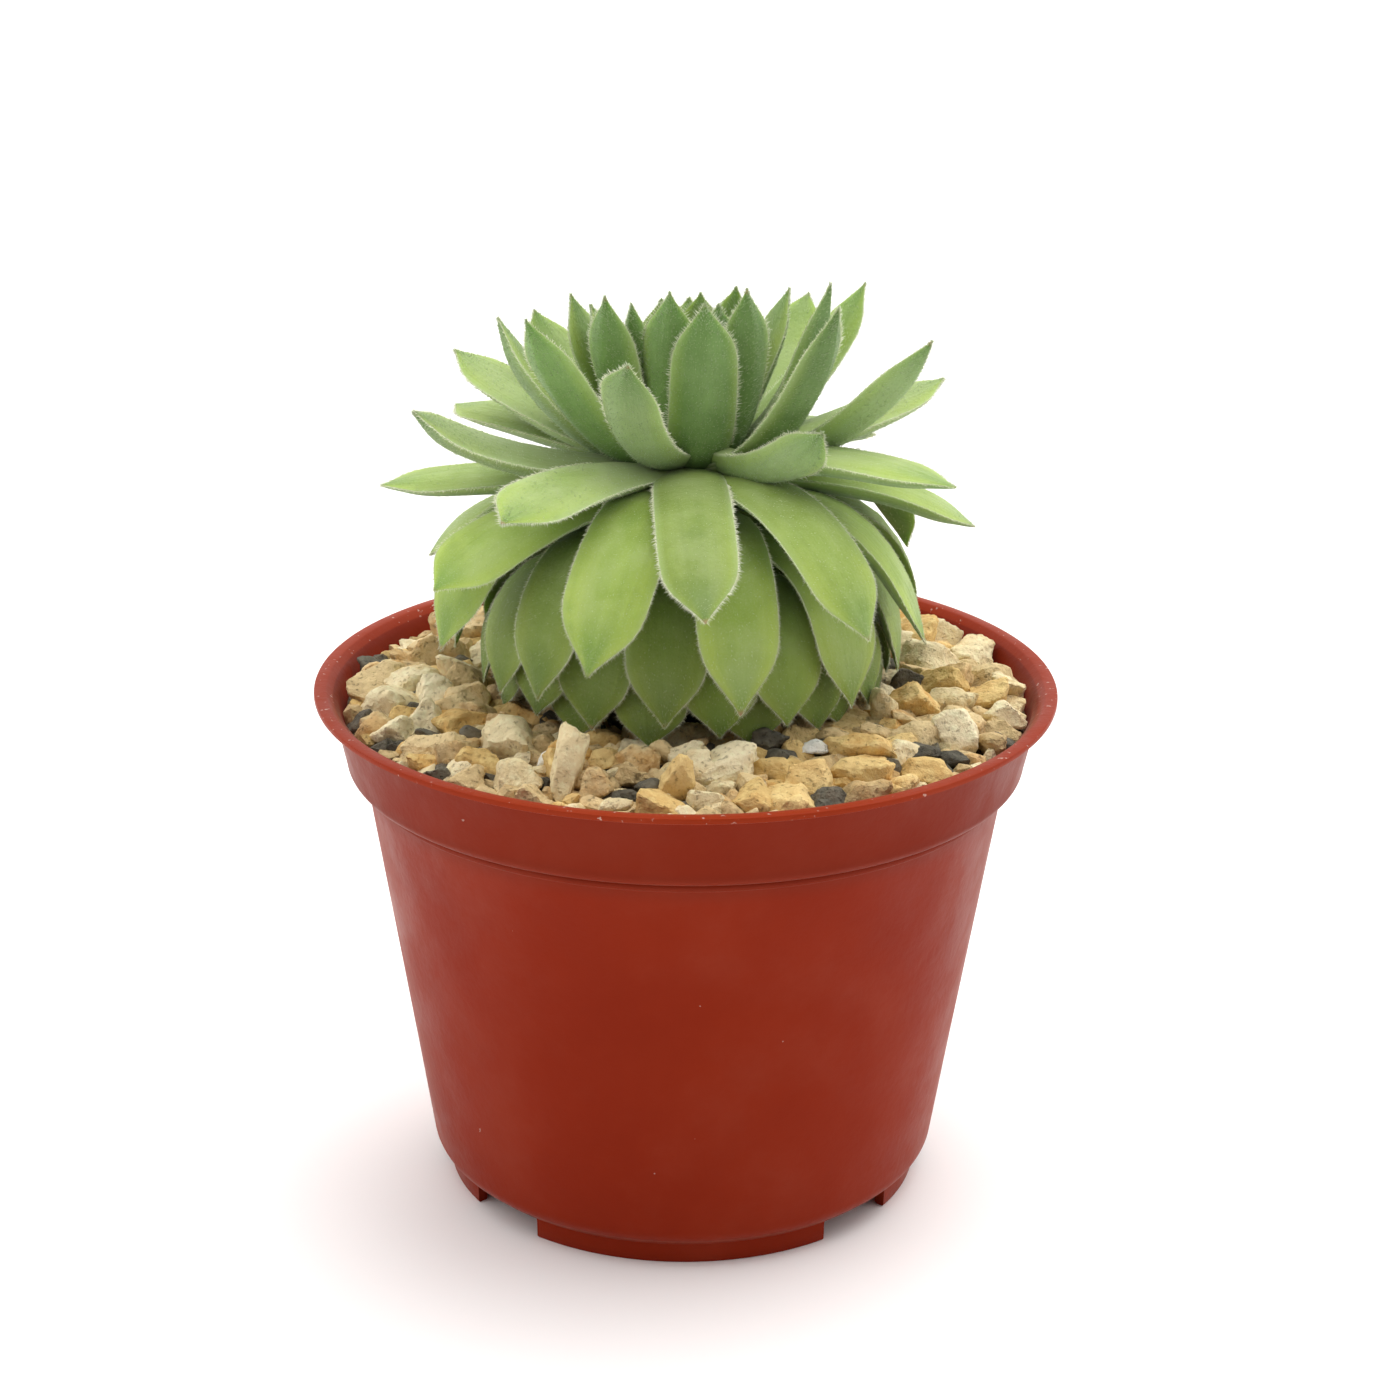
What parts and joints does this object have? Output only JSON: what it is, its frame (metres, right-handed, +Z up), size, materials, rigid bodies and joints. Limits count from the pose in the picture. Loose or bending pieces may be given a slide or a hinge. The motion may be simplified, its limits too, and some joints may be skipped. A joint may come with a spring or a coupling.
{
  "type": "potted hens and chicks succulent",
  "caption": "Dome-shaped succulent rosette of thick pointed leaves, grit top dressing and potting mix in a round tapered nursery pot.",
  "frame": {"origin": "centre of the circle that the pot's foot ring stands on, at the surface", "axes": "+Z up along the pot's axis, -Y towards the front of the plant, +X to the right seen from the front"},
  "size_m": [0.11, 0.11, 0.1382],
  "materials": {
    "pot": "satin",
    "potting_mix": "rough",
    "grit": "rough",
    "leaf": "velvety"
  },
  "bodies": {
    "root": {"pot": "pot", "potting_mix": "potting_mix", "top_dressing": "grit", "rosette": "leaf"}
  },
  "joints": []
}
